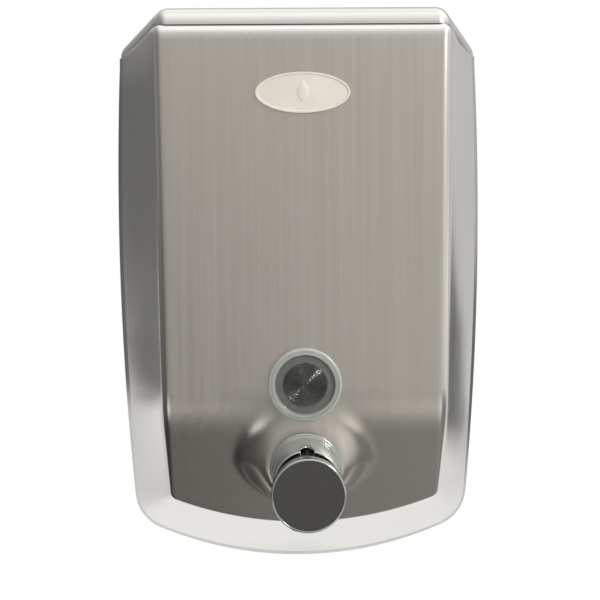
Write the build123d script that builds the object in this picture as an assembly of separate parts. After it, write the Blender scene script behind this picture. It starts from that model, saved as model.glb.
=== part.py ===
from build123d import *
from math import atan2, cos, pi, sin, sqrt, tan
import os

# Wall mounted soap dispenser, pressed stainless steel, with a push pump.
# Millimetres. X runs to the viewer's right, Y into the wall, Z up.
# While it is built, Z counts from the body's lowest point and Y = 0 is the wall.
# Each node is saved with the centre of the bracket's screw holes as the origin.

# ---- body ----
half_width = 62.5          # widest, at the wall
widest_z = 118.0           # height of the widest point
side_sweep = 1100.0        # radius of the long side curve at the wall
bottom_sweep = 124.0       # radius of the bottom curve at the wall
corner_r = 13.0            # bottom corners at the wall
deck_z = 174.4             # top of the body, under the lid
panel_y = 81.0             # front panel, distance from the wall
crease_z = 63.0            # where the front bends back
crease_r = 25.0
lower_edge_z = 26.0        # lowest point of the front panel
lower_setback = 25.6       # how far it stands back from the panel
lower_edge_y = panel_y - lower_setback
panel_half = 39.8          # half width of the panel at its lower corners
panel_corner_z = 35.2
panel_flare = 0.0103       # widening of the panel per mm of height
panel_corner_r = 3.2
edge_bend_r = 2.4          # bends round the panel and along the shoulder
sheet = 0.8

# ---- hinge ----
running = 0.05             # radial clearance of everything that turns or slides
knuckle_r = 2.0
hinge_pin_r = 1.0
wall_clear = 1.2           # knuckles to the wall
hinge_half = 40.0
knuckle_gap = 0.3
leaf_t = 0.8
leaf_depth = 8.0
knuckle_clear = 0.6        # lid and leaves stay this far off the knuckles
hinge_y = wall_clear + knuckle_r
leaf_y = hinge_y + knuckle_r + knuckle_clear

# ---- lid ----
lid_sheet = 1.0
lid_seam = 0.3             # gap between lid skirt and body
lid_height = 2 * knuckle_r + leaf_t - lid_seam
lid_corner_r = 3.2
lid_edge_r = 3.0
lid_rear = 2.0             # rear edge of the lid to the wall
mouth_margin = 10.0        # shoulder left round the filling mouth
mouth_rear = leaf_y + leaf_depth + 2.2
mouth_corner_r = 8.0
lid_top = deck_z + lid_seam + lid_height
lid_in = lid_top - lid_sheet
mouth_front = panel_y - mouth_margin

# ---- cam lock ----
lock_barrel_r = 6.5
lock_barrel_len = 12.0
lock_plug_r = 4.0
lock_flange_r = lock_barrel_r + 2.5
lock_flange_t = 0.8
lock_nut_t = 3.0
cam_t = 1.5
cam_w = 8.0
cam_step = lock_barrel_r + cam_t + 2.0     # radius at which the cam bends up
cam_reach = cam_step + 8.0
cam_catch = 4.0            # how far the locked cam reaches under the shoulder
cam_drive = 5.0            # square on the plug
lock_y = mouth_front + cam_catch - cam_reach

# ---- badge ----
badge_z = deck_z - 19.5
badge_w = 26.7
badge_h = 11.4
badge_t = 1.0

# ---- pump ----
pump_z = 48.3
barrel_bore_r = 6.0
barrel_wall = 1.2
collar_bore_r = barrel_bore_r + barrel_wall
shank_r = collar_bore_r + 1.5
collar_r = shank_r + 0.7
collar_flange_r = shank_r + 1.5
collar_flange_t = 2.0
collar_len = 23.0
key_r = 1.5                # notch in the collar's rim
hole_play = 0.1            # body holes round the shanks
gasket_t = 1.2
outer_gasket_t = 0.6
clamp_r = collar_flange_r + 0.8
boss_r = clamp_r + sheet + 0.7
boss_draft = 12.0          # degrees
stroke = 8.0
button_r = collar_r + 0.35
button_t = 4.0
button_rim = 0.55
button_gap = stroke + 1.0  # collar rim to button at rest
plunger_r = 4.5
plunger_bore_r = 2.6
plunger_bore_len = 14.0
piston_t = 6.0
piston_y = panel_y - 7.0   # rear face of the piston at rest
port_r = 1.3
out_r = 2.0                # outlet ball
rim_y = panel_y + collar_len
spout_y = rim_y - 9.0
spout_r = 3.6
spout_bore_r = 2.2

# ---- sight glass ----
glass_shank_r = 8.7
glass_flange_r = glass_shank_r + 1.8
glass_ring_r = glass_shank_r - 0.1
glass_bore_r = glass_shank_r - 2.25
glass_flange_t = 2.5
glass_front_t = 1.6
glass_clamp_r = glass_flange_r + 0.5
glass_z = pump_z + collar_flange_r + glass_flange_r + 3.4

# ---- wall fixing ----
mount_z = deck_z - 66.4    # centre of the screw holes
hole_span = 60.0
screw_hole_r = 2.5
bracket_half = 40.0
bracket_sheet = 1.5
rail_sheet = 1.5
hook_play = 0.4            # hook to rail, front and back
back_gap = 7.0             # rear face of the back plate to the wall
back_sheet = 1.0
hook_y = back_gap - rail_sheet - hook_play - bracket_sheet

# ---- intake ----
riser_y = back_gap + back_sheet + 12.0
barrel_rear_y = riser_y + 8.0
riser_bore_r = 3.0
ball_r = 2.5
seat_bore_r = 2.0
duct_r = 3.5
tube_r = riser_bore_r + 1.0
strainer_r = tube_r + 1.0
floor_z = lower_edge_z / lower_edge_y * (riser_y + strainer_r) + 1.5 * sheet
tube_end_z = floor_z + 3.0


def cyl_y(r, y0, y1, z, x=0.0):
    """Round bar along Y between two distances from the wall."""
    a, b = min(y0, y1), max(y0, y1)
    return Pos(x, -a, z) * Rot(90, 0, 0) * Cylinder(
        r, b - a, align=(Align.CENTER, Align.CENTER, Align.MIN))


def ring_y(r_out, r_in, y0, y1, z, x=0.0):
    return cyl_y(r_out, y0, y1, z, x) - cyl_y(r_in, min(y0, y1) - 1, max(y0, y1) + 1, z, x)


def cyl_z(r, z0, z1, x, y):
    """Round bar along Z at a distance y from the wall."""
    return Pos(x, -y, z0) * Cylinder(r, z1 - z0, align=(Align.CENTER, Align.CENTER, Align.MIN))


def cyl_x(r, x0, x1, y, z):
    return Pos(x0, -y, z) * Rot(0, 90, 0) * Cylinder(
        r, x1 - x0, align=(Align.CENTER, Align.CENTER, Align.MIN))


def box(x0, x1, y0, y1, z0, z1):
    """Box between distances y0 and y1 from the wall."""
    return Pos((x0 + x1) / 2, -(y0 + y1) / 2, (z0 + z1) / 2) * Box(x1 - x0, y1 - y0, z1 - z0)


def line(a, b):
    return Edge.make_line(a, b)


def flip(v):
    return Vector(-v.X, v.Y, v.Z)


# ---- pressed form of the body ----
slope = atan2(panel_y - lower_edge_y, crease_z - lower_edge_z)
floor_lean = atan2(lower_edge_z, lower_edge_y)
side_lean = atan2(half_width - panel_half, panel_y)
edge_pull = tan(slope / 2) + tan((pi / 2 - floor_lean - slope) / 2)


def panel_half_at(z, t):
    return panel_half + (z - panel_corner_z) * panel_flare - t * tan((pi / 2 - side_lean) / 2)


def side_at(z, t):
    return half_width - side_sweep + sqrt(side_sweep**2 - (z - widest_z)**2) - t / cos(side_lean)


def bottom_at(x, t):
    return bottom_sweep - sqrt(bottom_sweep**2 - x * x) + t / cos(floor_lean)


def panel_edges(t):
    """Outline of the front panel, moved in by t: flat part, bend and sloping lower part."""
    bend_z = crease_z + t * tan(slope / 2)
    crease = Vector(0, t - panel_y, bend_z)
    down = Vector(0, sin(slope), -cos(slope))
    tangent = (crease_r - t) * tan(slope / 2)
    top = deck_z - t
    a = Vector(panel_half_at(top, t), t - panel_y, top)
    b = Vector(panel_half_at(bend_z + tangent, t), t - panel_y, bend_z + tangent)
    c = crease + down * tangent
    c = Vector(panel_half_at(c.Z, t), c.Y, c.Z)
    d = crease + down * ((crease_z - panel_corner_z) / cos(slope) - edge_pull * t)
    d = Vector(panel_half_at(d.Z, t), d.Y, d.Z)
    mid = crease + down * ((crease_z - lower_edge_z) / cos(slope) - edge_pull * t)
    flat = line(a, b)
    bend = Edge.make_tangent_arc(b, (b - a).normalized(), c)
    low = Face(Wire([line(c, d), Edge.make_three_point_arc(d, mid, flip(d)),
                     line(flip(d), flip(c)), line(flip(c), c)]))
    low = low.fillet_2d(panel_corner_r - t,
                        [v for v in low.vertices() if v.Z < d.Z + 0.1])
    right = [e for e in low.edges() if e.center().X > panel_half / 2]
    straight = [e for e in right if e.geom_type == GeomType.LINE][0]
    corner = [e for e in right if e.geom_type != GeomType.LINE][0]
    bottom = low.edges().filter_by(GeomType.CIRCLE).sort_by(SortBy.LENGTH)[-1]
    return a, b, [flat, bend, straight, corner], bottom, low


def wall_edges(t):
    """Outline where the body meets the wall, moved in by t."""
    top = deck_z - t
    x = half_width
    for _ in range(40):
        x = side_at(bottom_at(x, t), t)
    z = bottom_at(x, t)
    zm = (top + z) / 2
    face = Face(Wire([
        Edge.make_three_point_arc((side_at(top, t), 0, top), (side_at(zm, t), 0, zm), (x, 0, z)),
        Edge.make_three_point_arc((x, 0, z), (0, 0, bottom_at(0, t)), (-x, 0, z)),
        Edge.make_three_point_arc((-x, 0, z), (-side_at(zm, t), 0, zm), (-side_at(top, t), 0, top)),
        line((-side_at(top, t), 0, top), (side_at(top, t), 0, top)),
    ]))
    face = face.fillet_2d(corner_r - t, [v for v in face.vertices() if v.Z < z + 0.1])
    arcs = face.edges().filter_by(GeomType.CIRCLE).sort_by(SortBy.LENGTH)
    bottom = [e for e in arcs if abs(e.center().X) < 5][0]
    corner = [e for e in arcs[:2] if e.center().X > 0][0]
    low = max((corner @ 0).Z, (corner @ 1).Z)
    return corner, bottom, low


def band(e, w):
    """Ruled sheet between an edge of the panel and the matching edge at the wall."""
    straight = ((e @ 0) - (w @ 0)).length + ((e @ 1) - (w @ 1)).length
    crossed = ((e @ 0) - (w @ 1)).length + ((e @ 1) - (w @ 0)).length
    if straight > crossed:
        w = Edge.make_three_point_arc(w @ 1, w @ 0.5, w @ 0)
    return Face.make_surface_from_curves(e, w)


def body_form(t):
    """Solid inside the skin that lies t under the outer surface, bends included."""
    a, b, edges, bottom, low = panel_edges(t)
    corner, wall_bottom, z_low = wall_edges(t)
    top = deck_z - t
    total = sum(e.length for e in edges[:3])
    stops, run = [top], 0.0
    for e in edges[:3]:
        run += e.length
        stops.append(top - (top - z_low) * run / total)
    at = [Vector(side_at(z, t), 0, z) for z in stops]
    wall = []
    for i in range(3):
        zm = (stops[i] + stops[i + 1]) / 2
        wall.append(Edge.make_three_point_arc(at[i], Vector(side_at(zm, t), 0, zm), at[i + 1]))
    wall.append(corner)
    right = [band(e, w) for e, w in zip(edges, wall)]
    faces = right + [f.mirror(Plane.YZ) for f in right] + [band(bottom, wall_bottom), low]
    faces.append(Face(Wire([line(a, b), line(b, flip(b)), line(flip(b), flip(a)),
                            line(flip(a), a)])))
    faces.append(Face.make_surface_from_curves(edges[1], edges[1].mirror(Plane.YZ)))
    faces.append(Face(Wire([line(a, flip(a)), line(flip(a), flip(at[0])),
                            line(flip(at[0]), at[0]), line(at[0], a)])))
    faces.append(Face(Wire(wall + [w.mirror(Plane.YZ) for w in wall]
                           + [wall_bottom, line(at[0], flip(at[0]))])))
    solid = Solid(Shell(faces))
    bends = []
    for e in solid.edges():
        p, q = e @ 0, e @ 1
        level = abs(p.Z - q.Z) < 0.01
        along_front = max(p.Y, q.Y) < 0.2 - lower_edge_y + t
        across = level and lower_edge_z + 15 < p.Z < top - 1
        shoulder = level and p.Z > top - 0.01 and min(p.Y, q.Y) < -1
        on_top = p.Z > top - 0.01 and q.Z > top - 0.01
        if (along_front and not across) or shoulder or on_top and min(p.Y, q.Y) < -1:
            bends.append(e)
    return solid.fillet(edge_bend_r - t, bends)


def boss_form(t):
    """Drafted pad that carries the pump, running up into the flat of the panel."""
    r = boss_r - t
    face = (
        Plane(origin=(0, t - panel_y, 0), x_dir=(1, 0, 0), z_dir=(0, -1, 0))
        * (Pos(0, pump_z) * Circle(r) + Pos(0, (pump_z + crease_z + 14) / 2)
           * Rectangle(2 * r, crease_z + 14 - pump_z))
    )
    return extrude(face, amount=-30, taper=-boss_draft)


def frame_at(y, margin):
    """Half width of the body's top outline at a distance y from the wall, less a margin."""
    rear = side_at(deck_z, 0)
    return rear - (rear - panel_half_at(deck_z, 0)) * y / panel_y - margin


def top_plate(rear, front, margin, z0, z1, corner):
    """Plate with the outline of the body's top, from z0 to z1, rounded at the corners given."""
    pts = [(frame_at(rear, margin), -rear), (frame_at(front, margin), -front),
           (-frame_at(front, margin), -front), (-frame_at(rear, margin), -rear)]
    face = make_face(Polyline(*pts, close=True))
    picked = face.vertices() if rear > lid_rear + 1 else [
        v for v in face.vertices() if v.Y < -panel_y / 2]
    face = face.face().fillet_2d(corner, picked)
    return extrude(Pos(0, 0, z0) * face, amount=z1 - z0)


def helix_y(r, wire, y0, y1, z, pitch):
    """Coil spring along Y between two distances from the wall."""
    path = Plane(origin=(0, -y1, z), x_dir=(1, 0, 0), z_dir=(0, 1, 0)) * Helix(pitch, y1 - y0, r)
    start = Plane(origin=path @ 0, z_dir=path % 0)
    return sweep(start * Circle(wire), path=path)


node = {}

# ---- tank ----
hollow = body_form(sheet)
skin = body_form(0.0) + boss_form(0.0) - (hollow + boss_form(sheet))
skin -= top_plate(mouth_rear, mouth_front, mouth_margin, deck_z - 5, deck_z + 5, mouth_corner_r)
skin -= cyl_y(shank_r + hole_play, panel_y - 5, panel_y + 5, pump_z)
skin -= cyl_y(glass_shank_r + hole_play, panel_y - 5, panel_y + 5, glass_z)
node["front_shell"] = skin
node["back_plate"] = hollow & box(-half_width, half_width, back_gap, back_gap + back_sheet, -5, deck_z + 5)

# ---- wall fixing: bracket with an upward hook, rail on the back plate with a lip behind it ----
hook_z = mount_z + bracket_half
hook_top = hook_z + 13.0
bracket = box(-bracket_half, bracket_half, 0, bracket_sheet, mount_z - bracket_half, hook_z)
bracket += box(-bracket_half, bracket_half, 0, hook_y + bracket_sheet, hook_z - bracket_sheet, hook_z)
bracket += box(-bracket_half, bracket_half, hook_y, hook_y + bracket_sheet, hook_z - bracket_sheet, hook_top)
for sx in (-1, 1):
    for sz in (-1, 1):
        bracket -= cyl_y(screw_hole_r, -1, bracket_sheet + 1, mount_z + sz * hole_span / 2,
                         sx * hole_span / 2)
node["wall_bracket"] = bracket
rail_half = bracket_half - 5
lip_y = hook_y - hook_play - rail_sheet
rail = box(-rail_half, rail_half, lip_y, back_gap, hook_top, hook_top + rail_sheet)
rail += box(-rail_half, rail_half, lip_y, lip_y + rail_sheet, hook_z + 2, hook_top)
rail += box(-rail_half, rail_half, back_gap - rail_sheet, back_gap, hook_z + 2, hook_top + rail_sheet)
node["hanger_rail"] = rail

# ---- lid: shallow pressed cap, cut back round the hinge knuckles ----
hinge_z = lid_top - knuckle_r
skirt_z = deck_z + lid_seam
lid = top_plate(lid_rear, panel_y, 0, skirt_z, lid_top, lid_corner_r)
lid = lid.fillet(lid_edge_r, [e for e in lid.edges()
                              if e.center().Z > lid_top - 0.01 and e.center().Y < -lid_rear - 0.1])
void = top_plate(lid_rear, panel_y - lid_sheet, lid_sheet * 1.03, skirt_z - 1, lid_top - lid_sheet,
                 lid_corner_r - lid_sheet)
void = void.fillet(lid_edge_r - lid_sheet, [
    e for e in void.edges()
    if e.center().Z > lid_top - lid_sheet - 0.01 and e.center().Y < -lid_rear - 0.1])
lid -= void
lid -= box(-half_width, half_width, lid_rear - 1, hinge_y + 0.4, skirt_z - 1, lid_top - lid_sheet)
lid -= box(-hinge_half - 1.6, hinge_half + 1.6, 0, leaf_y, skirt_z - 1, lid_top + 1)
lid -= cyl_z(lock_barrel_r, lid_top - 5, lid_top + 5, 0, lock_y)
node["lid"] = lid

# ---- hinge ----
step = 2 * hinge_half / 5
body_leaf = box(-hinge_half, hinge_half, leaf_y, leaf_y + leaf_depth, deck_z, deck_z + leaf_t)
lid_leaf = box(-hinge_half, hinge_half, leaf_y, leaf_y + leaf_depth, lid_in - leaf_t, lid_in)
for i in range(5):
    x0, x1 = -hinge_half + i * step, -hinge_half + (i + 1) * step
    if i % 2 == 0:
        body_leaf += cyl_x(knuckle_r, x0, x1, hinge_y, hinge_z)
        body_leaf += box(x0, x1, hinge_y, leaf_y, deck_z, hinge_z - knuckle_r + 0.3)
    else:
        x0, x1 = x0 + knuckle_gap, x1 - knuckle_gap
        lid_leaf += cyl_x(knuckle_r, x0, x1, hinge_y, hinge_z)
        lid_leaf += box(x0, x1, hinge_y, leaf_y, lid_in - leaf_t, lid_in)
body_leaf -= cyl_x(hinge_pin_r, -hinge_half - 1, hinge_half + 1, hinge_y, hinge_z)
lid_leaf -= cyl_x(hinge_pin_r + running, -hinge_half - 1, hinge_half + 1, hinge_y, hinge_z)
node["body_hinge_leaf"] = body_leaf
node["lid_hinge_leaf"] = lid_leaf
pin = cyl_x(hinge_pin_r, -hinge_half - 0.5, hinge_half + 0.5, hinge_y, hinge_z)
for x in (-hinge_half - 1, hinge_half):
    pin += cyl_x(hinge_pin_r + 0.6, x, x + 1, hinge_y, hinge_z)
node["hinge_pin"] = pin

# ---- cam lock in the lid ----
lock_top = lid_top + lock_flange_t
barrel_end = lid_top - lock_barrel_len
housing = cyl_z(lock_flange_r, lid_top, lock_top, 0, lock_y)
housing = housing.fillet(0.5, [housing.edges().sort_by(Axis.Z)[-1]])
housing += cyl_z(lock_barrel_r, barrel_end, lid_top, 0, lock_y)
housing -= cyl_z(lock_plug_r + running, barrel_end - 1, lock_top + 1, 0, lock_y)
node["lock_housing"] = housing
nut_z = lid_in - lock_nut_t
node["lock_nut"] = extrude(
    Pos(0, -lock_y, nut_z) * RegularPolygon(lock_barrel_r + 2, 6, major_radius=False), amount=lock_nut_t
) - cyl_z(lock_barrel_r, nut_z - 1, lid_in + 1, 0, lock_y)
cam_top = barrel_end - 0.2
square = cam_drive
plug = cyl_z(lock_plug_r, barrel_end, lock_top - 0.2, 0, lock_y)
plug += box(-square / 2, square / 2, lock_y - square / 2, lock_y + square / 2, cam_top - cam_t, barrel_end)
plug -= (cyl_z(3.0, lock_top - 4, lock_top, 0, lock_y) - cyl_z(2.0, lock_top - 5, lock_top + 1, 0, lock_y))
plug -= box(-0.6, 0.6, lock_y, lock_y + 3.4, lock_top - 4, lock_top)
plug -= cyl_z(1.5, cam_top - cam_t - 1, cam_top + 4, 0, lock_y)
node["lock_plug"] = plug
lip_top = deck_z - sheet - 0.5
cam = cyl_z(5.2, cam_top - cam_t, cam_top, 0, lock_y)
cam += box(0, cam_step, lock_y - cam_w / 2, lock_y + cam_w / 2, cam_top - cam_t, cam_top)
cam += box(cam_step - cam_t, cam_step, lock_y - cam_w / 2, lock_y + cam_w / 2, cam_top - cam_t, lip_top)
cam += box(cam_step - cam_t, cam_reach, lock_y - cam_w / 2, lock_y + cam_w / 2, lip_top - cam_t, lip_top)
cam -= box(-square / 2, square / 2, lock_y - square / 2, lock_y + square / 2, cam_top - 5, cam_top + 1)
node["lock_cam"] = cam
node["cam_screw"] = (cyl_z(3.4, cam_top - cam_t - 1.6, cam_top - cam_t, 0, lock_y)
                     + cyl_z(1.5, cam_top - cam_t, cam_top + 3.5, 0, lock_y)
                     - box(-3.5, 3.5, lock_y - 0.5, lock_y + 0.5, cam_top - cam_t - 2, cam_top - cam_t - 0.8))

# ---- badge: blank oval with a raised rim and a plain drop ----
front = Plane(origin=(0, -panel_y, badge_z), x_dir=(1, 0, 0), z_dir=(0, -1, 0))
badge = extrude(front * Ellipse(badge_w / 2, badge_h / 2), amount=badge_t)
badge -= extrude(front.offset(badge_t - 0.25) * Ellipse(badge_w / 2 - 0.8, badge_h / 2 - 0.8), amount=1)
drop = make_face(Line((0, 3.4), (1.5, 0.3)) + ThreePointArc((1.5, 0.3), (0, -2.6), (-1.5, 0.3))
                 + Line((-1.5, 0.3), (0, 3.4)))
badge += extrude(front.offset(badge_t - 0.3) * drop, amount=0.3)
node["badge"] = badge

# ---- sight glass, clamped through the panel ----
inside = panel_y - sheet
glass = cyl_y(glass_flange_r, panel_y, panel_y + glass_flange_t, glass_z)
glass = glass.chamfer(0.5, None, [glass.edges().sort_by(Axis.Y)[0]])
glass += cyl_y(glass_shank_r, inside - gasket_t - 6, panel_y, glass_z)
glass -= cyl_y(glass_ring_r, panel_y + glass_flange_t - 0.7, panel_y + glass_flange_t + 1, glass_z)
glass -= cyl_y(glass_bore_r, 0, panel_y + glass_flange_t - 0.7 - glass_front_t, glass_z)
node["sight_glass"] = glass
node["sight_gasket"] = ring_y(glass_clamp_r, glass_shank_r, inside - gasket_t, inside, glass_z)
nut = ring_y(glass_clamp_r, glass_shank_r, inside - gasket_t - 4, inside - gasket_t, glass_z)
for sx in (-1, 1):
    nut -= Pos(sx * glass_clamp_r, 0, 0) * cyl_y(1.4, 0, inside - gasket_t - 2, glass_z)
node["sight_nut"] = nut

# ---- pump: collar and spout ----
shank_end = panel_y - 14.0
collar = cyl_y(collar_flange_r, panel_y + outer_gasket_t, panel_y + outer_gasket_t + collar_flange_t, pump_z)
collar = collar.fillet(0.6, [collar.edges().sort_by(Axis.Y)[0]])
tube = cyl_y(collar_r, panel_y + outer_gasket_t, rim_y, pump_z)
tube = tube.fillet(0.4, [tube.edges().sort_by(Axis.Y)[0]])
collar += tube
collar += cyl_y(shank_r, shank_end, panel_y + outer_gasket_t + 1, pump_z)
nipple_z = pump_z - collar_r - 2.5
collar += cyl_z(spout_r, nipple_z, pump_z - collar_bore_r, 0, spout_y)
collar -= cyl_y(collar_bore_r, shank_end - 1, rim_y + 1, pump_z)
collar -= cyl_z(spout_bore_r, nipple_z - 1, pump_z, 0, spout_y)
collar -= cyl_z(key_r, pump_z + collar_bore_r - 1, pump_z + collar_r + 1, 0, rim_y)
node["pump_collar"] = collar
tip = cyl_z(spout_r + 0.9, nipple_z - 2.2, nipple_z + 1.8, 0, spout_y)
tip -= cyl_z(spout_r, nipple_z, nipple_z + 3, 0, spout_y)
tip -= cyl_z(spout_bore_r, nipple_z - 1.2, nipple_z + 1, 0, spout_y)
tip -= box(-1.8, 1.8, spout_y - 0.25, spout_y + 0.25, nipple_z - 3, nipple_z)
node["spout_tip"] = tip
node["pump_outer_gasket"] = ring_y(collar_flange_r - 0.3, shank_r, panel_y, panel_y + outer_gasket_t, pump_z)
node["pump_inner_gasket"] = ring_y(clamp_r, shank_r, inside - gasket_t, inside, pump_z)
nut = Plane(origin=(0, gasket_t - inside, pump_z), x_dir=(1, 0, 0), z_dir=(0, 1, 0)) * RegularPolygon(
    clamp_r * cos(pi / 6), 6, major_radius=False)
node["pump_lock_nut"] = extrude(nut, amount=6) - cyl_y(shank_r, 0, panel_y, pump_z)

# ---- pump: barrel, bush and seal ----
bore_front = panel_y + 3.0
barrel = ring_y(collar_bore_r, barrel_bore_r, barrel_rear_y, bore_front, pump_z)
barrel += ring_y(shank_r, barrel_bore_r, shank_end - 2, shank_end, pump_z)
node["pump_barrel"] = barrel
node["front_bush"] = ring_y(collar_bore_r, plunger_r + running, rim_y - 5, rim_y - 0.8, pump_z)
node["rod_seal"] = ring_y(collar_bore_r, plunger_r + running, rim_y - 6.5, rim_y - 5, pump_z)

# ---- pump: what the thumb moves ----
button_back = rim_y + button_gap
button_front = button_back + button_t
button = cyl_y(button_r, button_back, button_front, pump_z)
button = button.fillet(0.35, [button.edges().sort_by(Axis.Y)[0], button.edges().sort_by(Axis.Y)[-1]])
button -= cyl_y(button_r - button_rim, button_front - 1.0, button_front + 1, pump_z)
button -= cyl_y(plunger_r, button_back - 1, button_back + 2, pump_z)
node["push_button"] = button
node["button_face"] = cyl_y(button_r - button_rim, button_front - 1.0, button_front - 0.1, pump_z)
piston_front = piston_y + piston_t
spigot_front = piston_front + 3.0
plunger = cyl_y(plunger_r, piston_front, button_back + 2, pump_z)
plunger -= cyl_y(plunger_bore_r, piston_front - 1, piston_front + plunger_bore_len, pump_z)
plunger -= cyl_x(1.1, -plunger_r - 1, plunger_r + 1, spigot_front + 4.2, pump_z)
node["plunger"] = plunger
piston = cyl_y(barrel_bore_r - 0.1, piston_y, piston_front, pump_z)
piston -= ring_y(barrel_bore_r + 1, barrel_bore_r - 1, piston_y + 2, piston_y + 4, pump_z)
piston += cyl_y(plunger_bore_r, piston_front, spigot_front, pump_z)
piston -= cyl_y(port_r, piston_y - 1, spigot_front + 1, pump_z)
node["piston"] = piston
node["piston_seal"] = ring_y(barrel_bore_r - running, barrel_bore_r - 1, piston_y + 2, piston_y + 4, pump_z)
plug_front = barrel_rear_y + 6.0
node["return_spring"] = helix_y(barrel_bore_r - 1.7, 0.45, plug_front + 0.5, piston_y - 0.5, pump_z, 4.8)

# ---- pump: outlet valve inside the plunger ----
out_y = spigot_front + sqrt(out_r**2 - port_r**2) + 0.02
node["outlet_ball"] = Pos(0, -out_y, pump_z) * Sphere(out_r)
node["outlet_spring"] = helix_y(out_r - 0.1, 0.2, out_y + out_r + 0.25, piston_front + plunger_bore_len - 0.25, pump_z, 1.3)

# ---- intake: elbow with the ball valve, seat, tube and strainer ----
chamber_top = pump_z - duct_r - 1.5
seat_z = chamber_top - 5.5
riser_z = seat_z - 4.8
elbow = cyl_y(barrel_bore_r, barrel_rear_y, plug_front, pump_z)
elbow += cyl_y(collar_bore_r, barrel_rear_y - 2, barrel_rear_y, pump_z)
elbow += cyl_y(6.5, riser_y - 6.5, barrel_rear_y - 2, pump_z)
elbow += cyl_z(tube_r + 1.5, riser_z, pump_z, 0, riser_y)
elbow -= cyl_y(duct_r, riser_y - 3.5, plug_front + 1, pump_z)
elbow -= cyl_z(1.8, chamber_top - 1, pump_z, 0, riser_y)
elbow -= cyl_z(riser_bore_r, seat_z, chamber_top, 0, riser_y)
elbow -= cyl_z(tube_r, riser_z - 1, seat_z, 0, riser_y)
node["inlet_elbow"] = elbow
nipple_r = seat_bore_r + 0.9
seat = cyl_z(tube_r, riser_z + 1, seat_z, 0, riser_y)
seat += cyl_z(nipple_r, riser_z - 5, riser_z + 1, 0, riser_y)
seat -= cyl_z(seat_bore_r, riser_z - 6, seat_z + 1, 0, riser_y)
node["inlet_seat"] = seat
in_z = seat_z + sqrt(ball_r**2 - seat_bore_r**2) + 0.02
node["inlet_ball"] = Pos(0, -riser_y, in_z) * Sphere(ball_r)
node["intake_tube"] = (cyl_z(tube_r, tube_end_z + 2.5, riser_z + 1, 0, riser_y)
                       - cyl_z(nipple_r, tube_end_z, riser_z + 2, 0, riser_y))
strainer = cyl_z(strainer_r, tube_end_z, tube_end_z + 6, 0, riser_y)
strainer -= cyl_z(tube_r, tube_end_z + 2.5, tube_end_z + 7, 0, riser_y)
strainer -= cyl_z(nipple_r, tube_end_z + 1, tube_end_z + 3, 0, riser_y)
for x in (-1.6, 0, 1.6):
    strainer -= box(x - 0.35, x + 0.35, riser_y - 2, riser_y + 2, tube_end_z - 1, tube_end_z + 2)
node["intake_strainer"] = strainer

os.makedirs("parts", exist_ok=True)
for name, shape in node.items():
    export_step(Pos(0, 0, -mount_z) * shape, f"parts/{name}.step")
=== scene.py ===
import math
import bmesh
import bpy
import numpy as np
from mathutils import Matrix, Vector


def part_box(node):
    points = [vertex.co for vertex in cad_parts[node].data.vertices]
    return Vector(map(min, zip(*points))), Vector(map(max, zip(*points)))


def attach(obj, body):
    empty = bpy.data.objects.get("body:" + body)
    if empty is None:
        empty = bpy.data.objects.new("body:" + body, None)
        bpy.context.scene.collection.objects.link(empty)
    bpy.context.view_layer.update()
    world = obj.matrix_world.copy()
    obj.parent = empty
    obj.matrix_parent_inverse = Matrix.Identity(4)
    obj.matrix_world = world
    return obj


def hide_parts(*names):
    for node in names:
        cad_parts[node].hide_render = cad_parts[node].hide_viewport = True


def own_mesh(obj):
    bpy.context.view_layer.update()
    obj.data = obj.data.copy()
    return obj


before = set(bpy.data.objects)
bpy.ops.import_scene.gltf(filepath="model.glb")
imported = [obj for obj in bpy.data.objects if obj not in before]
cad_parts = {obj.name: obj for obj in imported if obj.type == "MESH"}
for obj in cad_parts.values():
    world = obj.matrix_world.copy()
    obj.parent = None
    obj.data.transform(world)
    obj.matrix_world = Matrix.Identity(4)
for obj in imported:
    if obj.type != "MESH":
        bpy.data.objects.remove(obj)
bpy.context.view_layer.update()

# ---------------------------------------------------------------- front shell
# One sheet of 304 stainless, 0.8 mm, drawn over a die: flat front, lower part bent
# back, bands flaring to the wall. The front is brushed up and down on a belt, the
# bands are polished after drawing, so they mirror the room and the front does not.
MM = 0.001
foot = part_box("front_shell")[0].z / MM        # the body's lowest point, in the frame
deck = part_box("front_shell")[1].z / MM - foot
panel = -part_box("front_shell")[0].y / MM
sheet = 0.8
crease_z, crease_r = 63.0, 25.0               # the bend between the panel and the slope below it
edge_z, edge_y = 26.0, 55.4                   # lowest point of the front
slope = math.atan2(panel - edge_y, crease_z - edge_z)
bend_run = crease_r * math.tan(slope / 2)
pump_z, glass_z, shank_hole = 48.3, 72.4, 8.8
pad_r, pad_drop = 9.3, 1.6                    # flat pad under the pump, a little longer below
boss_spread, boss_tuck = 13.0, 8.0            # soft hollow round the pad, narrower below


def front_y(x, z):
    """Depth of the front at a point of its flat view: panel, bend, slope and the pump's boss."""
    top, low = crease_z + bend_run, crease_z - bend_run * math.cos(slope)
    if z >= top:
        base = -panel
    elif z >= low:
        base = -panel + crease_r - math.sqrt(crease_r**2 - (top - z) ** 2)
    else:
        base = -panel + bend_run * math.sin(slope) + (low - z) * math.tan(slope)
    away = math.hypot(x, z - pump_z)
    down = max(pump_z - z, 0.0) / max(away, 1.0)
    t = min(max((away - pad_r - pad_drop * down**2) / (boss_spread - boss_tuck * down), 0.0), 1.0)
    return base + (-panel - base) * (1 - t**3 * (10 - 15 * t + 6 * t * t))


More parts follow.
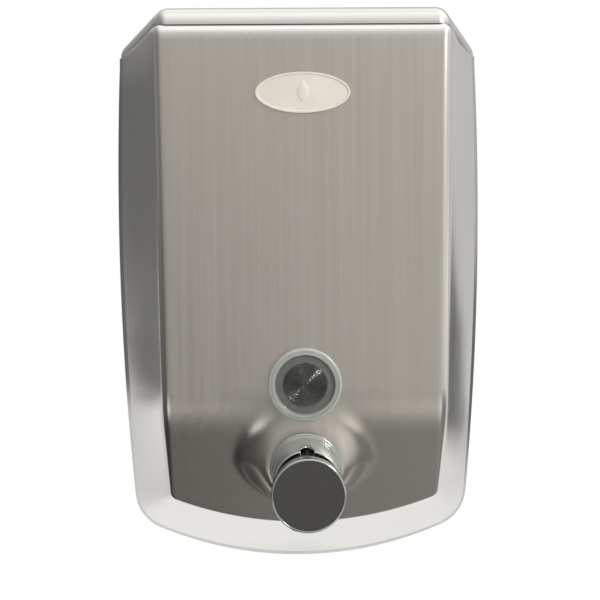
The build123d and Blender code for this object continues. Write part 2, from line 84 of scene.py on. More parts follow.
def arc_between(a, b, c, n):
    """Round bend from a to c with its legs meeting in b."""
    a, b, c = (np.array(p, float) for p in (a, b, c))
    u, v = (a - b) / np.linalg.norm(a - b), (c - b) / np.linalg.norm(c - b)
    w = math.sqrt(max(0.0, (1 - float(u @ v)) / 2))
    out = []
    for i in range(n + 1):
        t = i / n
        k = np.array([(1 - t) ** 2, 2 * w * t * (1 - t), t * t])
        out.append((k[0] * a + k[1] * b + k[2] * c) / k.sum())
    return out


def outline(side_x, bottom_z, corner_x, corner_z, run, top, steps):
    """Right half of an outline in the flat view, from the top down to the middle of the bottom:
    its side, its corner and its bottom joined in one line."""
    down = [(side_x(z), z) for z in np.linspace(top, corner_z + run, steps[0] + 1)]
    ahead = 1.0
    while math.hypot(ahead, corner_z - bottom_z(corner_x - ahead)) < run:
        ahead += 0.02
    start, end = down[-1], (corner_x - ahead, bottom_z(corner_x - ahead))
    corner = arc_between(start, (corner_x, corner_z), end, steps[1])
    along = [(x, bottom_z(x)) for x in np.linspace(end[0], 0.0, steps[2] + 1)]
    return np.array(down + corner[1:] + along[1:], float)


def lengths(points):
    """Distance along a line at each of its points."""
    return np.concatenate([[0], np.cumsum(np.linalg.norm(np.diff(points, axis=0), axis=1))])


steps = (130, 14, 46)                         # along the side, the corner and the bottom
shoulder = 2.7
panel_top = deck - shoulder
panel_half, panel_lean, panel_arc = 40.3, 0.0103, 90.7
panel_corner_z, panel_corner = 35.2, 2.0
side_half, side_arc, widest_z = 62.5, 1100.0, 118.0
foot_arc, wall_corner_x, wall_corner_z, wall_corner = 124.0, 57.65, 14.22, 8.1
edge_line = outline(lambda z: panel_half + (z - panel_corner_z) * panel_lean,
                    lambda x: edge_z + panel_arc - math.sqrt(panel_arc**2 - x * x),
                    panel_half, panel_corner_z, panel_corner, panel_top, steps)
wall_line = outline(lambda z: side_half - side_arc + math.sqrt(side_arc**2 - (z - widest_z) ** 2),
                    lambda x: foot_arc - math.sqrt(foot_arc**2 - x * x),
                    wall_corner_x, wall_corner_z, wall_corner, panel_top, steps)

# each point of the front's edge finds its partner at the wall; the corner is spread out over
# its neighbours, so that the bands run smooth
past_boss = 60.0
edge_line3 = np.array([(x, front_y(past_boss, z), z) for x, z in edge_line])
s_edge, s_wall = lengths(edge_line3), lengths(wall_line)
fine = np.linspace(0, s_edge[-1], 1200)
match = np.interp(fine, s_edge, s_wall)
spread = 30
for _ in range(3):
    ends = 2 * match[0] - match[spread:0:-1], 2 * match[-1] - match[-2:-spread - 2:-1]
    match = np.convolve(np.concatenate([ends[0], match, ends[1]]),
                        np.ones(2 * spread + 1) / (2 * spread + 1), "valid")
s_on_wall = np.interp(s_edge, fine, match)
wall_line = np.stack([np.interp(s_on_wall, s_wall, wall_line[:, k]) for k in (0, 1)], axis=1)

# rows of the sheet from the pump out to the wall: the front, the bend at its edge (bend_pull is
# how far in the bend starts) and the band, a little hollow at the sides and full at the bottom
panel_rows, bend_rows, band_rows = 58, 8, 10
band_low_z, band_fade, foot_half = 40.0, 30.0, 34.0
bend_pull = 0.9 * np.interp(s_edge, s_edge[-1] * np.array([0, 0.60, 0.78, 1]), [2.4, 2.3, 0.7, 0.6])
hollow_side = 0.9 * np.clip((edge_line[:, 1] - band_low_z) / band_fade, 0, 1)
full_foot = -1.0 * np.clip(1 - edge_line[:, 0] / foot_half, 0, 1)
columns = []
for i, (x, z) in enumerate(edge_line):
    sharp = edge_line3[i]
    outer = np.array([wall_line[i][0], 0.0, wall_line[i][1]])
    heart = np.array([0.0, max(z, pump_z)])
    inward = heart - (x, z)
    inner = np.array([x, z]) + inward / np.linalg.norm(inward) * bend_pull[i]
    column = []
    for j in range(panel_rows):
        at = heart + (inner - heart) * j / panel_rows
        column.append((at[0], front_y(at[0], at[1]), at[1]))
    start = np.array([inner[0], front_y(inner[0], inner[1]), inner[1]])
    out = (outer - sharp) / np.linalg.norm(outer - sharp)
    bend = arc_between(start, sharp, sharp + out * np.linalg.norm(start - sharp), bend_rows)
    column += [tuple(p) for p in bend]
    chord = outer - bend[-1]
    on_side = z > band_low_z
    sag = np.array([-chord[1], chord[0], 0.0]) if on_side else np.array([0.0, chord[2], -chord[1]])
    sag *= (hollow_side[i] if on_side else full_foot[i]) / np.linalg.norm(sag)
    for j in range(1, band_rows + 1):
        t = j / band_rows
        column.append(tuple(bend[-1] + chord * t + sag * 4 * t * (1 - t)))
    columns.append(np.array(column))

# the shoulder bend, then the flat deck round the filling mouth
mouth_front, mouth_rear = 10.0 - panel, -16.0
half_front, half_rear = 31.2, 47.1
front_corner = ((half_front - 6.2, mouth_front), (half_front, mouth_front),
                (half_front + 1.7, mouth_front + 6.0))
rear_corner = (half_rear - 2.2, mouth_rear - 7.7), (half_rear, mouth_rear), (half_rear - 8.0, mouth_rear)
ahead_n, corner_n = 12, 8
mouth = np.array([(0, mouth_front)]
                 + [(x, mouth_front) for x in np.linspace(2, half_front - 7, ahead_n)]
                 + arc_between(*front_corner, corner_n)
                 + [np.array(front_corner[2]) * (1 - t) + np.array(rear_corner[0]) * t
                    for t in np.linspace(0.05, 0.95, 12)]
                 + arc_between(*rear_corner, corner_n))
rim = columns[0]
tangent = np.gradient(rim[:, :2], axis=0)
tangent /= np.linalg.norm(tangent, axis=1)[:, None]
outward = np.stack([tangent[:, 1], -tangent[:, 0]], axis=1)
s_rim, s_mouth = lengths(rim[:, :2]), lengths(mouth)
corners = s_rim[panel_rows + bend_rows // 2], s_mouth[1 + ahead_n + corner_n // 2]
on_mouth = np.interp(s_rim, [0, corners[0], s_rim[-1]], [0, corners[1], s_mouth[-1]])
mouth_line = np.stack([np.interp(on_mouth, s_mouth, mouth[:, k]) for k in (0, 1)], axis=1)
shoulder_n, deck_n = 7, 4
rim_r = np.interp(-rim[:, 1], [0, 20, 68, panel - 1], [0.4, 0.6, 1.0, shoulder])
caps = []
for a in np.linspace(0, math.pi / 2, shoulder_n + 1):
    ring = rim.copy()
    ring[:, :2] -= outward * (rim_r * (1 - math.cos(a)))[:, None]
    ring[:, 2] = deck - rim_r * (1 - math.sin(a))
    ring[-1, 1] = 0.0
    ring[0, 0] = 0.0
    caps.append(ring)
for step in range(1, deck_n + 1):
    ring = caps[shoulder_n].copy()
    ring[:, :2] += (mouth_line - ring[:, :2]) * step / deck_n
    caps.append(ring)
columns = caps[::-1] + columns
skin = np.array(columns + [c * (-1, 1, 1) for c in columns[-2::-1]])
skin[:, :, 2] += foot
skin *= MM

bm = bmesh.new()
# The grain layer also carries a painted highlight: over the top 2 mm of the front it fades, so the lighter
# polished tone whitens the band along the shoulder.
grain = bm.verts.layers.float.new("grain")    # 1 on the brushed front, 0 on the polished bands
n_col, n_row, cap_n = skin.shape[0], skin.shape[1], len(caps)
bmesh.ops.create_grid(bm, x_segments=n_col - 1, y_segments=n_row - 1, size=1.0)
rear_verts = {}
for v in bm.verts:
    i, j = round((v.co.x + 1) / 2 * (n_col - 1)), round((v.co.y + 1) / 2 * (n_row - 1))
    v[grain] = float(np.clip((panel_rows + bend_rows * 0.7 - j) / (bend_rows * 0.6), 0, 1))
    if i < cap_n or i >= n_col - cap_n:
        v[grain] *= 0.15
        rear_verts[(i, j)] = v
    v.co = Vector(skin[i, j])
    # painted highlight: the grain fades just under the shoulder, lightening the base colour there
    v[grain] *= min(max((deck + foot - shoulder - v.co.z / MM) / 2.5 + 0.15, 0.15), 1.0)
near_rim = cap_n - shoulder_n - 1
rear = bm.faces.new([rear_verts[(i, n_row - 1)] for i in range(near_rim, -1, -1)]
                    + [rear_verts[(n_col - 1 - i, n_row - 1)] for i in range(near_rim + 1)])
bmesh.ops.remove_doubles(bm, verts=bm.verts, dist=1e-5)
front_only = -0.06                            # the holes are cut in the front, not in the rear


def off_axis(co, z):
    """From an axis along Y at a height, straight out to a point."""
    return Vector((co.x, 0, co.z - z))


for hole_z in ((pump_z + foot) * MM, (glass_z + foot) * MM):
    reach = shank_hole * MM
    inside = [f for f in bm.faces if off_axis(f.calc_center_median(), hole_z).length < reach
              and f.calc_center_median().y < front_only]
    bmesh.ops.delete(bm, geom=inside, context="FACES")
    for v in bm.verts:
        d = off_axis(v.co, hole_z)
        if v.is_boundary and v.co.y < front_only and d.length < reach + 1.5 * MM:
            d = d.normalized() * reach
            v.co.x, v.co.z = d.x, hole_z + d.z
bmesh.ops.delete(bm, geom=[f for f in bm.faces if f.calc_area() < 1e-12], context="FACES_ONLY")
bm.normal_update()
flat_front = [f for f in bm.faces if f.calc_center_median().y < (0.5 - panel) * MM]
if sum(f.normal.y * f.calc_area() for f in flat_front) > 0:
    bmesh.ops.reverse_faces(bm, faces=bm.faces)
if rear.is_valid and rear.normal.z < 0:
    bmesh.ops.reverse_faces(bm, faces=[rear])
for f in bm.faces:
    f.smooth = True
mesh = bpy.data.meshes.new("shell_skin")
bm.to_mesh(mesh)
bm.free()
shell = bpy.data.objects.new("shell_skin", mesh)
bpy.context.scene.collection.objects.link(shell)
wall_sheet = shell.modifiers.new("sheet", "SOLIDIFY")
wall_sheet.thickness = sheet * MM
wall_sheet.offset = -1.0
wall_sheet.use_even_offset = False


def linear(code):
    """sRGB hex to the linear colour that a shader takes."""
    part = [int(code[i:i + 2], 16) / 255 for i in (1, 3, 5)]
    return tuple(c / 12.92 if c <= 0.04045 else ((c + 0.055) / 1.055) ** 2.4 for c in part) + (1.0,)


def add(tree, kind, links=None, stops=(), **settings):
    """Adds a shader node, sets it up, gives a ramp its (place, colour) stops and links its inputs."""
    n = tree.nodes.new("ShaderNode" + kind)
    for key, value in settings.items():
        if key.startswith("in_"):
            name = key[3:].replace("_", " ")
            n.inputs[int(name) if name.isdigit() else name].default_value = value
        else:
            setattr(n, key, value)
    for i, (place, colour) in enumerate(stops):
        if i == 0:
            n.color_ramp.elements.remove(n.color_ramp.elements[-1])
            n.color_ramp.elements[0].position = place
            n.color_ramp.elements[0].color = colour
        else:
            n.color_ramp.elements.new(place).color = colour
    for key, source in (links or {}).items():
        tree.links.new(source, n.inputs[key])
    return n


def new_finish(name):
    """A material with an empty node tree."""
    m = bpy.data.materials.new(name)
    m.use_nodes = True
    m.node_tree.nodes.clear()
    return m, m.node_tree


# Belt-brushed stainless: warm grey, hairlines up and down about 0.3 mm apart with a few
# longer scratches; where it turns to the polished bands the lines fade to fine polishing.
steel, tree = new_finish("brushed_stainless_304")
place = add(tree, "TexCoord")
hair_map = add(tree, "Mapping", {"Vector": place.outputs["Object"]},
               in_Scale=(1 / (0.2778 * MM), 1 / (0.2778 * MM), 1 / (50 * MM)))
hair = add(tree, "TexNoise", {"Vector": hair_map.outputs[0]}, in_Scale=1.0, in_Detail=3.0, in_Roughness=0.7)
long_map = add(tree, "Mapping", {"Vector": place.outputs["Object"]},
               in_Scale=(1 / (1.4286 * MM), 1 / (1.4286 * MM), 1 / (111.1 * MM)))
long_line = add(tree, "TexNoise", {"Vector": long_map.outputs[0]}, in_Scale=1.0, in_Detail=2.0)
cloud = add(tree, "TexNoise", {"Vector": place.outputs["Object"]}, in_Scale=1 / (38.46 * MM),
            in_Detail=3.0, in_Roughness=0.55)
brush_and_highlight_mask = add(tree, "Attribute", attribute_name="grain")
lines = add(tree, "Mix", {2: hair.outputs[0], 3: long_line.outputs[0]}, in_0=0.4)
tone = add(tree, "ValToRGB", {"Fac": lines.outputs[0]},
           [(0.3, linear("#bfbbb4")), (0.5, linear("#c3bfb8")), (0.7, linear("#c8c4be"))])
# The polished parts take a lighter base colour than the brushed front. The finish is real, but its lighter
# tone is painted highlight, on the bands and along the shoulder.
bright = add(tree, "Mix", {"Factor": brush_and_highlight_mask.outputs["Fac"], 7: tone.outputs[0]}, data_type="RGBA",
             in_6=linear("#e3e2e0"))
rough_line = add(tree, "MapRange", {"Value": lines.outputs[0]}, in_1=0.35, in_2=0.65, in_3=0.27, in_4=0.36)
rough_band = add(tree, "MapRange", {"Value": cloud.outputs[0]}, in_1=0.3, in_2=0.7, in_3=0.10, in_4=0.16)
rough = add(tree, "Mix", {"Factor": brush_and_highlight_mask.outputs["Fac"], 2: rough_band.outputs[0], 3: rough_line.outputs[0]})
line_depth = add(tree, "Math", {0: lines.outputs[0], 1: brush_and_highlight_mask.outputs["Fac"]}, operation="MULTIPLY")
ripple = add(tree, "TexNoise", {"Vector": place.outputs["Object"]}, in_Scale=1 / (29.41 * MM), in_Detail=1.0)
scored = add(tree, "Bump", {"Height": line_depth.outputs[0]}, in_Strength=0.06, in_Distance=0.3 * MM)
wavy = add(tree, "Bump", {"Height": ripple.outputs[0], "Normal": scored.outputs[0]}, in_Strength=0.04,
           in_Distance=2.0 * MM)
face = add(tree, "BsdfPrincipled", {"Base Color": bright.outputs[2], "Roughness": rough.outputs[0],
                                    "Normal": wavy.outputs[0]}, in_Metallic=1.0)
add(tree, "OutputMaterial", {"Surface": face.outputs[0]})
mesh.materials.append(steel)
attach(shell, "tank")
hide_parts("front_shell")

# ---------------------------------------------------------------------- lid
# Shallow cap pressed from thin stainless, its top edge rolled over a 4.5 mm radius and its
# front corners rounded. Polished, so the rolled lip carries the brightest line in view.
lid_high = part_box("lid")[1].z / MM
lid_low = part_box("lid")[0].z / MM - 0.6       # closed, the lip all but touches the shoulder
lid_sheet, lid_front, lid_rear, lid_wide, lid_narrow = 0.7, panel - 0.9, 2.0, 60.4, 41.25
lid_corner, lid_roll = 3.2, 4.5
hinge_half, hinge_deep = 41.6, 5.8            # the rear edge is cut away for the hinge leaf
lock_y, lock_r, lock_field = 57.0, 6.6, 11.0


def to_scene(bm, name, finishes, bevel=None, wall=0.0):
    """Turns the mesh into a smooth-shaded object with its finishes, and a wall if it has one."""
    made = bpy.data.meshes.new(name)
    for f in bm.faces:
        f.smooth = True
    bm.to_mesh(made)
    bm.free()
    piece = bpy.data.objects.new(name, made)
    bpy.context.scene.collection.objects.link(piece)
    for finish in finishes:
        made.materials.append(finish)
    if wall:
        m = piece.modifiers.new("wall", "SOLIDIFY")
        m.thickness, m.offset, m.use_even_offset = wall * MM, -1.0, True
    if bevel:
        m = piece.modifiers.new("edges", "BEVEL")
        m.width, m.segments, m.limit_method = bevel * MM, 3, "ANGLE"
        m.angle_limit, m.harden_normals = math.radians(40), False
    m = piece.modifiers.new("normals", "WEIGHTED_NORMAL")
    m.keep_sharp, m.weight = True, 80
    return piece


bm = bmesh.new()
bmesh.ops.create_grid(bm, x_segments=1, y_segments=1, size=1.0)
for v in bm.verts:
    v.co = Vector((math.copysign(lid_narrow if v.co.y < 0 else lid_wide, v.co.x),
                   -lid_front if v.co.y < 0 else -lid_rear, lid_low)) * MM
top = bmesh.ops.extrude_face_region(bm, geom=list(bm.faces))
bmesh.ops.translate(bm, verts=[g for g in top["geom"] if isinstance(g, bmesh.types.BMVert)],
                    vec=(0, 0, (lid_high - lid_low) * MM))
bmesh.ops.recalc_face_normals(bm, faces=bm.faces)
upright = [e for e in bm.edges if abs(e.verts[0].co.x - e.verts[1].co.x) < 1e-6
           and abs(e.verts[0].co.y - e.verts[1].co.y) < 1e-6 and e.verts[0].co.y < -lid_front / 2 * MM]
bmesh.ops.bevel(bm, geom=upright, offset=lid_corner * MM, offset_type="OFFSET", affect="EDGES", segments=6,
                profile=0.5, material=-1)
rolled = [e for e in bm.edges if min(v.co.z for v in e.verts) > (lid_high - 0.1) * MM
          and min(v.co.y for v in e.verts) < -(lid_rear + 0.5) * MM]
bmesh.ops.bevel(bm, geom=rolled, offset=lid_roll * MM, offset_type="OFFSET", affect="EDGES", segments=8,
                profile=0.5, material=-1)
bmesh.ops.delete(bm, geom=[f for f in bm.faces if f.normal.z < -0.9
                           or (f.normal.y > 0.9 and f.calc_area() > 10 * MM**2)], context="FACES")
for at, way in (((0, -hinge_deep, 0), (0, 1, 0)), ((-hinge_half, 0, 0), (1, 0, 0)),
                ((hinge_half, 0, 0), (1, 0, 0)), ((-lock_field, 0, 0), (1, 0, 0)),
                ((lock_field, 0, 0), (1, 0, 0)), ((0, -lock_y - lock_field, 0), (0, 1, 0)),
                ((0, -lock_y + lock_field, 0), (0, 1, 0))):
    bmesh.ops.bisect_plane(bm, geom=bm.verts[:] + bm.edges[:] + bm.faces[:], dist=1e-7,
                           plane_co=Vector(at) * MM, plane_no=way)
gone = []
for f in bm.faces:
    c = f.calc_center_median() / MM
    at_lock = max(abs(c.x), abs(c.y + lock_y)) < lock_field and f.normal.z > 0.9
    if (abs(c.x) < hinge_half and c.y > -hinge_deep) or at_lock:
        gone.append(f)
bmesh.ops.delete(bm, geom=gone, context="FACES")


def field_edges():
    """Open edges round the square that the lock's hole is drawn in."""
    return [e for e in bm.edges if e.is_boundary
            and max(max(abs(v.co.x), abs(v.co.y + lock_y * MM)) for v in e.verts) < (lock_field + 0.01) * MM]


bmesh.ops.subdivide_edges(bm, edges=field_edges(), cuts=9, use_grid_fill=False)
for v in bmesh.ops.extrude_edge_only(bm, edges=field_edges())["geom"]:
    if isinstance(v, bmesh.types.BMVert):
        out = Vector((v.co.x, v.co.y + lock_y * MM, 0)).normalized() * lock_r * MM
        v.co = Vector((out.x, out.y - lock_y * MM, lid_high * MM))
bmesh.ops.recalc_face_normals(bm, faces=bm.faces)
if max(bm.faces, key=lambda f: f.calc_area()).normal.z < 0:
    bmesh.ops.reverse_faces(bm, faces=bm.faces)

# Polished stainless: near mirror with faint cloudy polishing marks running along the lip.
polish, tree = new_finish("polished_stainless_304")
place = add(tree, "TexCoord")
along = add(tree, "Mapping", {"Vector": place.outputs["Object"]},
            in_Scale=(1 / (33.33 * MM), 1 / (33.33 * MM), 1 / (1.111 * MM)))
marks = add(tree, "TexNoise", {"Vector": along.outputs[0]}, in_Scale=1.0, in_Detail=3.0)
haze = add(tree, "TexNoise", {"Vector": place.outputs["Object"]}, in_Scale=1 / (16.67 * MM), in_Detail=3.0)
rough = add(tree, "MapRange", {"Value": haze.outputs[0]}, in_1=0.3, in_2=0.7, in_3=0.13, in_4=0.20)
bump = add(tree, "Bump", {"Height": marks.outputs[0]}, in_Strength=0.06, in_Distance=0.3 * MM)
face = add(tree, "BsdfPrincipled", {"Roughness": rough.outputs[0], "Normal": bump.outputs[0]},
           in_Base_Color=linear("#dcdcda"), in_Metallic=1.0)
add(tree, "OutputMaterial", {"Surface": face.outputs[0]})
lid = to_scene(bm, "lid_skin", [polish], bevel=0.2, wall=lid_sheet)
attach(lid, "lid")
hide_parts("lid")

# -------------------------------------------------------------------- badge
# Thin oval plate with a fine raised rim and a plain drop in its middle, enamelled off-white.
# It is stuck to the panel.
low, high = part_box("badge")
middle, half = (low + high) / 2, (high - low) / 2
rim_wide, rim_slope, rim_deep = 0.5, 0.25, 0.25
drop_half, drop_tall, drop_lift = 1.6, 3.0, 0.4
bm = bmesh.new()
bmesh.ops.create_circle(bm, cap_ends=True, radius=1.0, segments=96)
for v in bm.verts:
    v.co = Vector((middle.x + v.co.x * half.x, high.y, middle.z + v.co.y * half.z))
plate = bmesh.ops.extrude_face_region(bm, geom=list(bm.faces))["geom"]
for v in plate:
    if isinstance(v, bmesh.types.BMVert):
        v.co.y = low.y
plate = [f for f in plate if isinstance(f, bmesh.types.BMFace)]
bmesh.ops.recalc_face_normals(bm, faces=bm.faces)
bmesh.ops.inset_region(bm, faces=plate, thickness=rim_wide * MM, use_even_offset=True)
bmesh.ops.inset_region(bm, faces=plate, thickness=rim_slope * MM, depth=-rim_deep * MM, use_even_offset=True)
drop = bmesh.ops.create_uvsphere(bm, u_segments=32, v_segments=16, radius=1.0)["verts"]
for v in drop:
    pinch = 1.0 - 0.55 * max(0.0, v.co.z) ** 1.3
    v.co = Vector((middle.x + v.co.x * drop_half * MM * pinch,
                   low.y + (0.28 + v.co.y * 0.26) * MM,
                   middle.z + (v.co.z * drop_tall + drop_lift) * MM))
bmesh.ops.recalc_face_normals(bm, faces=list({f for v in drop for f in v.link_faces}))

# Baked enamel: warm off-white, satin, with a faint orange-peel surface.
enamel, tree = new_finish("off_white_enamel")
place = add(tree, "TexCoord")
peel = add(tree, "TexNoise", {"Vector": place.outputs["Object"]}, in_Scale=1 / (0.7143 * MM), in_Detail=2.0)
tint = add(tree, "TexNoise", {"Vector": place.outputs["Object"]}, in_Scale=1 / (8.333 * MM), in_Detail=3.0)
tone = add(tree, "ValToRGB", {"Fac": tint.outputs[0]}, [(0.3, linear("#dcd9ce")), (0.7, linear("#e4e1d7"))])
bump = add(tree, "Bump", {"Height": peel.outputs[0]}, in_Strength=0.12, in_Distance=0.1 * MM)
face = add(tree, "BsdfPrincipled", {"Base Color": tone.outputs[0], "Normal": bump.outputs[0]},
           in_Roughness=0.38)
add(tree, "OutputMaterial", {"Surface": face.outputs[0]})
badge = to_scene(bm, "badge_plate", [enamel], bevel=0.12)
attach(badge, "tank")
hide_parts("badge")

# ------------------------------------------------------------- pump collar
# Turned and plated collar: flange on the shell, plain tube with a key slot in the top of its
# rim, threaded shank inside the tank, and the short outlet nipple below.
axis_z = (pump_z + foot) * MM
rim_y = -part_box("pump_collar")[0].y / MM
bore_r, tube_r, flange_r, shank_r, shank_end = 7.2, 9.4, 10.2, 8.7, 67.0
flange_back, flange_front = panel + 0.6, panel + 2.6
collar_steps = 192


def turned(profile, centre_z, n=128):
    """Solid turned about an axis along Y, from (radius, distance from the wall) in mm."""
    bm = bmesh.new()
    made = [bm.verts.new((0, -y * MM, centre_z + r * MM)) for r, y in profile]
    edges = [bm.edges.new(pair) for pair in zip(made, made[1:])]
    bmesh.ops.spin(bm, geom=made + edges, cent=(0, 0, centre_z), axis=(0, 1, 0), angle=2 * math.pi,
                   steps=n, use_merge=True)
    bmesh.ops.remove_doubles(bm, verts=bm.verts, dist=1e-6)
    bmesh.ops.recalc_face_normals(bm, faces=bm.faces)
    return bm


def round_corners(points, closed=True, n=4):
    """Profile whose points (r, y, radius) have a rounded corner where the radius isn't 0."""
    out = []
    for i, (r, y, size) in enumerate(points):
        p = np.array([r, y], float)
        if not size:
            out.append(tuple(p))
            continue
        a = np.array(points[i - 1][:2], float) - p
        b = np.array(points[(i + 1) % len(points)][:2], float) - p
        a, b = a / np.linalg.norm(a), b / np.linalg.norm(b)
        out += [tuple(q) for q in arc_between(p + a * size, p, p + b * size, n)]
    return out + [out[0]] if closed else out


bm = turned(round_corners([
    (bore_r, shank_end, 0), (shank_r, shank_end, 0.4), (shank_r, flange_back, 0),
    (flange_r, flange_back, 0.2), (flange_r, flange_front, 0.25), (tube_r, flange_front, 0.15),
    (tube_r, rim_y, 0.35), (bore_r, rim_y, 0.25)]), axis_z, collar_steps)
slot_half, slot_long, slot_columns = 1.95, 6.2, 6
for v in bm.verts:                            # the key slot, half an oval
    x, up_z = v.co.x / MM, (v.co.z - axis_z) / MM
    k = round(math.atan2(x, up_z) / (2 * math.pi / collar_steps))
    if abs(k) <= slot_columns and v.co.y < -(rim_y - 0.7) * MM:
        turn = math.radians(90 * k / slot_columns)
        far, side = math.hypot(x, up_z), math.asin(slot_half * math.sin(turn) / tube_r)
        v.co.x, v.co.z = far * math.sin(side) * MM, axis_z + far * math.cos(side) * MM
        if abs(k) < slot_columns:
            v.co.y += slot_long * math.cos(turn) * MM
for e in bm.edges:
    if e.is_manifold and e.calc_face_angle() > math.radians(40):
        e.smooth = False
nipple_r, nipple_long, nipple_back = 3.6, 4.6, 9.0
bmesh.ops.create_cone(bm, cap_ends=True, segments=48, radius1=nipple_r * MM, radius2=nipple_r * MM,
                      depth=nipple_long * MM, matrix=Matrix.Translation(
                          (0, -(rim_y - nipple_back) * MM, axis_z - (tube_r + 0.2) * MM)))

# Chrome plate on brass: cool, nearly perfect mirror with hairline handling scratches.
chrome, tree = new_finish("bright_chrome_plate")
place = add(tree, "TexCoord")
fine_map = add(tree, "Mapping", {"Vector": place.outputs["Object"]},
               in_Scale=(1 / (2.0 * MM), 1 / (11.11 * MM), 1 / (2.0 * MM)))
scuffs = add(tree, "TexNoise", {"Vector": fine_map.outputs[0]}, in_Scale=1.0, in_Detail=4.0)
rough = add(tree, "MapRange", {"Value": scuffs.outputs[0]}, in_1=0.35, in_2=0.75, in_3=0.05, in_4=0.12)
bump = add(tree, "Bump", {"Height": scuffs.outputs[0]}, in_Strength=0.04, in_Distance=0.1 * MM)
face = add(tree, "BsdfPrincipled", {"Roughness": rough.outputs[0], "Normal": bump.outputs[0]},
           in_Base_Color=linear("#bcc2c0"), in_Metallic=1.0)
add(tree, "OutputMaterial", {"Surface": face.outputs[0]})
collar = to_scene(bm, "collar_tube", [chrome])
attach(collar, "tank")
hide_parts("pump_collar")

# ----------------------------------------------------------- button and face
# Chrome button with a thin bright rim round a flat, satin face painted dark: its dark colour is a painted
# reflection, standing in for the dark surround that a chrome face would mirror. A socket in its back takes
# the end of the plunger.
b_low, b_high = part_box("push_button")
b_front, b_back, b_r = -b_low.y / MM, -b_high.y / MM, (b_high.x - b_low.x) / 2 / MM
socket_r, socket_deep, face_r, face_deep = 4.5, 2.0, b_r - 0.55, 1.0
bm = turned(round_corners([
    (0, b_back + socket_deep, 0), (socket_r, b_back + socket_deep, 0), (socket_r, b_back, 0),
    (b_r, b_back, 0.35), (b_r, b_front, 0.30), (face_r, b_front, 0.12),
    (face_r, b_front - face_deep, 0), (0, b_front - face_deep, 0)], closed=False), axis_z)
button = to_scene(bm, "button_body", [chrome])
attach(button, "button")
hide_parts("push_button")

disc_r, disc_front = face_r - 0.01, b_front - 0.1
bm = turned(round_corners([
    (0, b_front - face_deep, 0), (disc_r, b_front - face_deep, 0), (disc_r, disc_front, 0.15),
    (0, disc_front, 0)], closed=False), axis_z)

# Disc painted charcoal as a painted dark reflection of a chrome face: satin, with the faintest turning rings.
dark_reflection_paint, tree = new_finish("painted_dark_reflection_disc")
place = add(tree, "TexCoord")
centre = add(tree, "Mapping", {"Vector": place.outputs["Object"]}, in_Location=(0, 0, -axis_z),
             in_Scale=(1, 0, 1))
distance = add(tree, "VectorMath", {0: centre.outputs[0]}, operation="LENGTH")
rings = add(tree, "TexNoise", {"W": distance.outputs["Value"]}, noise_dimensions="1D",
            in_Scale=1 / (0.3846 * MM), in_Detail=2.0)
speck = add(tree, "TexNoise", {"Vector": place.outputs["Object"]}, in_Scale=1 / (1.111 * MM), in_Detail=3.0)
# painted reflection: the charcoal tone stands in for what a chrome face would mirror
tone = add(tree, "ValToRGB", {"Fac": speck.outputs[0]}, [(0.3, linear("#42413e")), (0.7, linear("#464542"))])
rough = add(tree, "MapRange", {"Value": rings.outputs[0]}, in_1=0.3, in_2=0.7, in_3=0.58, in_4=0.66)
bump = add(tree, "Bump", {"Height": rings.outputs[0]}, in_Strength=0.03, in_Distance=0.1 * MM)
face = add(tree, "BsdfPrincipled", {"Base Color": tone.outputs[0], "Roughness": rough.outputs[0],
                                    "Normal": bump.outputs[0]}, in_Specular_IOR_Level=0.3)
add(tree, "OutputMaterial", {"Surface": face.outputs[0]})
disc = to_scene(bm, "button_disc", [dark_reflection_paint])
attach(disc, "button")
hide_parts("button_face")

# -------------------------------------------------------------- sight glass
# Clear acrylic window: flange on the shell, a sunken ring, and a slightly domed lens with
# turning marks that draw a light into a radial streak. Its hollow shank shows as a ring.
glass_axis = (glass_z + foot) * MM
g_front = -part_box("sight_glass")[0].y / MM
g_back, g_clear, glass_end = g_front - 2.3, panel + 0.05, 73.0
flange_in_r, flange_out_r, shank_out_r, shank_in_r = 8.6, 10.5, 8.7, 6.45
bm = turned(round_corners([
    (0, g_front - 0.45, 0), (3.5, g_front - 0.5, 0), (7.0, g_front - 0.66, 0),
    (8.35, g_front - 0.75, 0.2), (flange_in_r, g_front, 0.2), (flange_out_r, g_front, 0.7),
    (flange_out_r, g_clear, 0.1), (shank_out_r, g_clear, 0), (shank_out_r, glass_end, 0.3),
    (shank_in_r, glass_end, 0.3), (shank_in_r, g_back, 0.35), (0, g_back, 0)], closed=False), glass_axis)

# Cast acrylic (PMMA), turned: clear with a slight grey-green body. The lens has grooves half a millimetre
# apart, drawn coarser than a real tool leaves them. Outside the lens the acrylic is drawn in rings of whiter,
# less clear stuff, most of all at the rim: painted highlight standing in for the flange's bright edges.
acrylic, tree = new_finish("clear_turned_acrylic")
place = add(tree, "TexCoord")
centre = add(tree, "Mapping", {"Vector": place.outputs["Object"]}, in_Location=(0, 0, -glass_axis),
             in_Scale=(1, 0, 1))
distance = add(tree, "VectorMath", {0: centre.outputs[0]}, operation="LENGTH")
turns = add(tree, "Math", {0: distance.outputs["Value"]}, operation="MULTIPLY",
            in_1=2 * math.pi / (0.5 * MM))
rings = add(tree, "Math", {0: turns.outputs[0]}, operation="SINE")
scratch = add(tree, "TexNoise", {"Vector": place.outputs["Object"]}, in_Scale=1 / (1.4286 * MM),
              in_Detail=4.0)
rough = add(tree, "MapRange", {"Value": scratch.outputs[0]}, in_1=0.45, in_2=0.8, in_3=0.02, in_4=0.12)
lens_only = add(tree, "MapRange", {"Value": distance.outputs["Value"]}, in_1=6.2 * MM, in_2=6.6 * MM,
                in_3=1.0, in_4=0.1)
grooves = add(tree, "Math", {0: rings.outputs[0], 1: lens_only.outputs[0]}, operation="MULTIPLY")
bump = add(tree, "Bump", {"Height": grooves.outputs[0]}, in_Strength=1.0, in_Distance=0.05 * MM)
